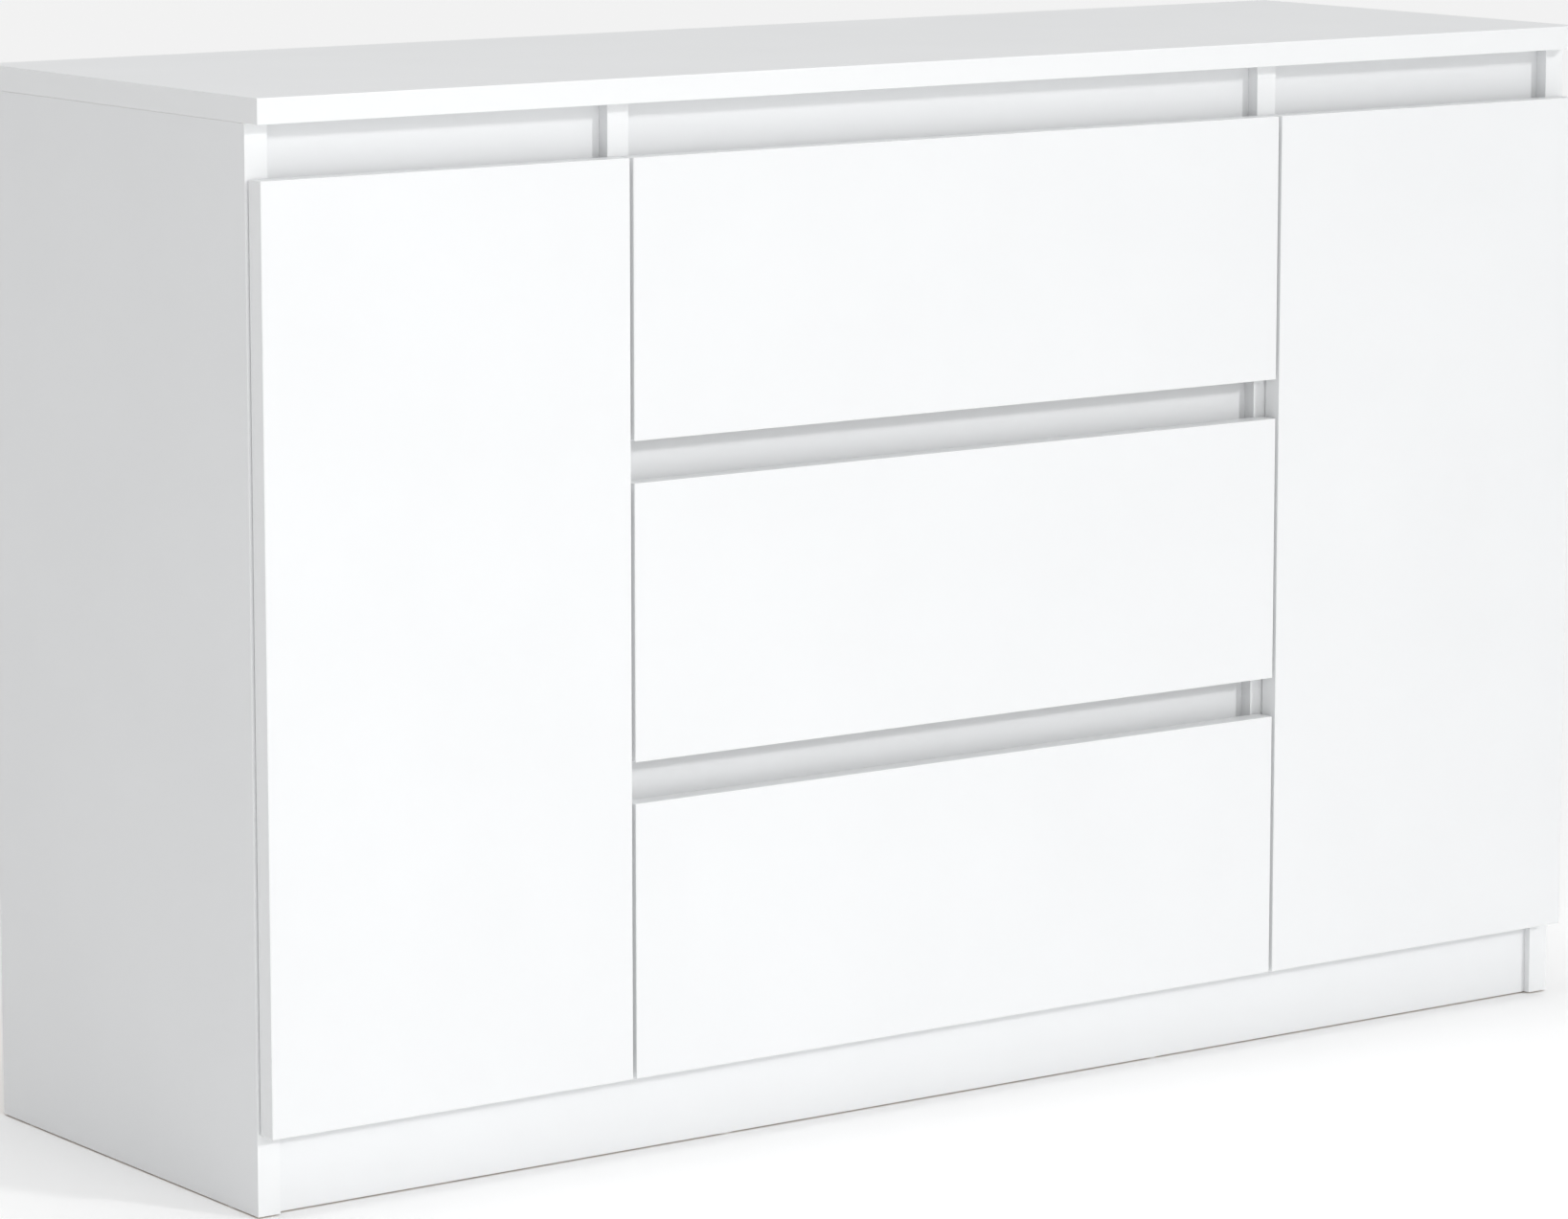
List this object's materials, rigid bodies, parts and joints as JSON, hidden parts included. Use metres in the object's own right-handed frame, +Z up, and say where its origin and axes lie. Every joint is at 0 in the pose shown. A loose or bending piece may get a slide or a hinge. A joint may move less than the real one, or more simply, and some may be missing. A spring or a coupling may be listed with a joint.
{
  "type": "sideboard buffet",
  "caption": "Long low storage cabinet with hinged doors at the ends, a stack of drawers between them, and finger gaps instead of handles.",
  "frame": {"origin": "middle of the footprint, on the floor", "axes": "+X to the right along the length, +Y to the back, +Z up; doors and drawers face -Y"},
  "size_m": [1.2, 0.38, 0.775],
  "materials": {
    "white_board": "satin white laminate on chipboard",
    "drawer_board": "matt white foil on thin chipboard",
    "hardboard": "white-faced hardboard, brown behind",
    "beech_dowel": "plain beech",
    "zinc_cam": "cast zinc",
    "steel_bolt": "bright zinc plated",
    "bright_nail": "bright steel",
    "zinc_screw": "bright zinc plated",
    "nickel_pin": "nickel plated",
    "nickel_hinge": "nickel plated pressed steel",
    "zinc_slide": "zinc plated rolled steel",
    "nylon_glide": "white nylon",
    "clear_bumper": "soft clear polyurethane"
  },
  "bodies": {
    "root": {"back_nails": "bright_nail", "bottom_panel": "white_board", "cam_bolts": "steel_bolt", "cam_locks": "zinc_cam", "centre_back_sheet": "hardboard", "centre_recess_rail": "white_board", "dowels": "beech_dowel", "floor_glides": "nylon_glide", "front_plinth": "white_board", "hinge_arms": "nickel_hinge", "hinge_plate_screws": "zinc_screw", "hinge_plates": "nickel_hinge", "left_back_sheet": "hardboard", "left_divider": "white_board", "left_recess_rail": "white_board", "left_shelf": "white_board", "left_side_panel": "white_board", "lower_drawer_rail": "white_board", "plinth_brace": "white_board", "rear_plinth": "white_board", "right_back_sheet": "hardboard", "right_divider": "white_board", "right_recess_rail": "white_board", "right_shelf": "white_board", "right_side_panel": "white_board", "shelf_pins": "nickel_pin", "slide_cabinet_members": "zinc_slide", "slide_screws": "zinc_screw", "top_panel": "white_board", "upper_drawer_rail": "white_board"},
    "left_door": {"left_cup_screws": "zinc_screw", "left_door": "white_board", "left_door_bumpers": "clear_bumper", "left_hinge_cups": "nickel_hinge"},
    "left_links": {"left_hinge_links": "nickel_hinge"},
    "lower_retainers": {"lower_ball_retainers": "zinc_slide"},
    "lower_drawer": {"lower_drawer_back": "drawer_board", "lower_drawer_bottom": "hardboard", "lower_drawer_front": "white_board", "lower_drawer_sides": "drawer_board", "lower_slide_runners": "zinc_slide"},
    "middle_retainers": {"middle_ball_retainers": "zinc_slide"},
    "middle_drawer": {"middle_drawer_back": "drawer_board", "middle_drawer_bottom": "hardboard", "middle_drawer_front": "white_board", "middle_drawer_sides": "drawer_board", "middle_slide_runners": "zinc_slide"},
    "right_door": {"right_cup_screws": "zinc_screw", "right_door": "white_board", "right_door_bumpers": "clear_bumper", "right_hinge_cups": "nickel_hinge"},
    "right_links": {"right_hinge_links": "nickel_hinge"},
    "upper_retainers": {"upper_ball_retainers": "zinc_slide"},
    "upper_drawer": {"upper_drawer_back": "drawer_board", "upper_drawer_bottom": "hardboard", "upper_drawer_front": "white_board", "upper_drawer_sides": "drawer_board", "upper_slide_runners": "zinc_slide"}
  },
  "joints": [
    {"name": "left_door_hinge", "type": "hinge", "parent": "root", "child": "left_door", "pos_m": [-0.5938, -0.1855, 0.389], "axis": [0, 0, -1], "range_deg": [0, 95]},
    {"name": "left_link_pivot", "type": "hinge", "parent": "root", "child": "left_links", "pos_m": [-0.568, -0.176, 0.389], "axis": [0, 0, 1], "range_deg": [0, 34.1]},
    {"name": "right_door_hinge", "type": "hinge", "parent": "root", "child": "right_door", "pos_m": [0.5938, -0.1855, 0.389], "axis": [0, 0, 1], "range_deg": [0, 95]},
    {"name": "right_link_pivot", "type": "hinge", "parent": "root", "child": "right_links", "pos_m": [0.568, -0.176, 0.389], "axis": [0, 0, -1], "range_deg": [0, 34.1]},
    {"name": "lower_drawer_slide", "type": "slide", "parent": "root", "child": "lower_drawer", "axis": [0, -1, 0], "range_m": [0, 0.25]},
    {"name": "lower_retainer_slide", "type": "slide", "parent": "root", "child": "lower_retainers", "axis": [0, -1, 0], "range_m": [0, 0.126]},
    {"name": "middle_drawer_slide", "type": "slide", "parent": "root", "child": "middle_drawer", "axis": [0, -1, 0], "range_m": [0, 0.25]},
    {"name": "middle_retainer_slide", "type": "slide", "parent": "root", "child": "middle_retainers", "axis": [0, -1, 0], "range_m": [0, 0.126]},
    {"name": "upper_drawer_slide", "type": "slide", "parent": "root", "child": "upper_drawer", "axis": [0, -1, 0], "range_m": [0, 0.25]},
    {"name": "upper_retainer_slide", "type": "slide", "parent": "root", "child": "upper_retainers", "axis": [0, -1, 0], "range_m": [0, 0.126]}
  ],
  "couplings": [
    {"joint": "left_link_pivot", "follows": "left_door_hinge", "ratio": 0.3484},
    {"joint": "right_link_pivot", "follows": "right_door_hinge", "ratio": 0.3484},
    {"joint": "lower_retainer_slide", "follows": "lower_drawer_slide", "ratio": 0.5},
    {"joint": "middle_retainer_slide", "follows": "middle_drawer_slide", "ratio": 0.5},
    {"joint": "upper_retainer_slide", "follows": "upper_drawer_slide", "ratio": 0.5}
  ]
}
